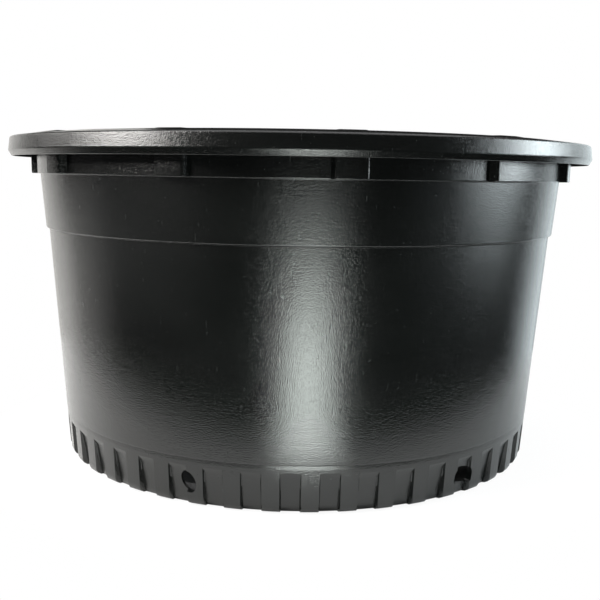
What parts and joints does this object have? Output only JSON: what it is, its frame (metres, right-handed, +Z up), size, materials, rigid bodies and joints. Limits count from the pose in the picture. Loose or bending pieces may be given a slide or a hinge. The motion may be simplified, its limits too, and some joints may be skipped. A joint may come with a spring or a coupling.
{
  "type": "nursery pot",
  "caption": "Squat round one-piece nursery pot with a turned-down beaded lip, stacking lugs, a stepped tapered wall, a pocketed foot band and side drain holes.",
  "frame": {"origin": "centre of the standing ring, on the plane that the pot stands on", "axes": "+Z up along the pot's axis; the front stacking lug points to -Y"},
  "size_m": [0.6, 0.6, 0.3215],
  "materials": {
    "black_plastic": "satin moulded polypropylene, black"
  },
  "bodies": {
    "root": {"nursery_pot": "black_plastic"}
  },
  "joints": []
}
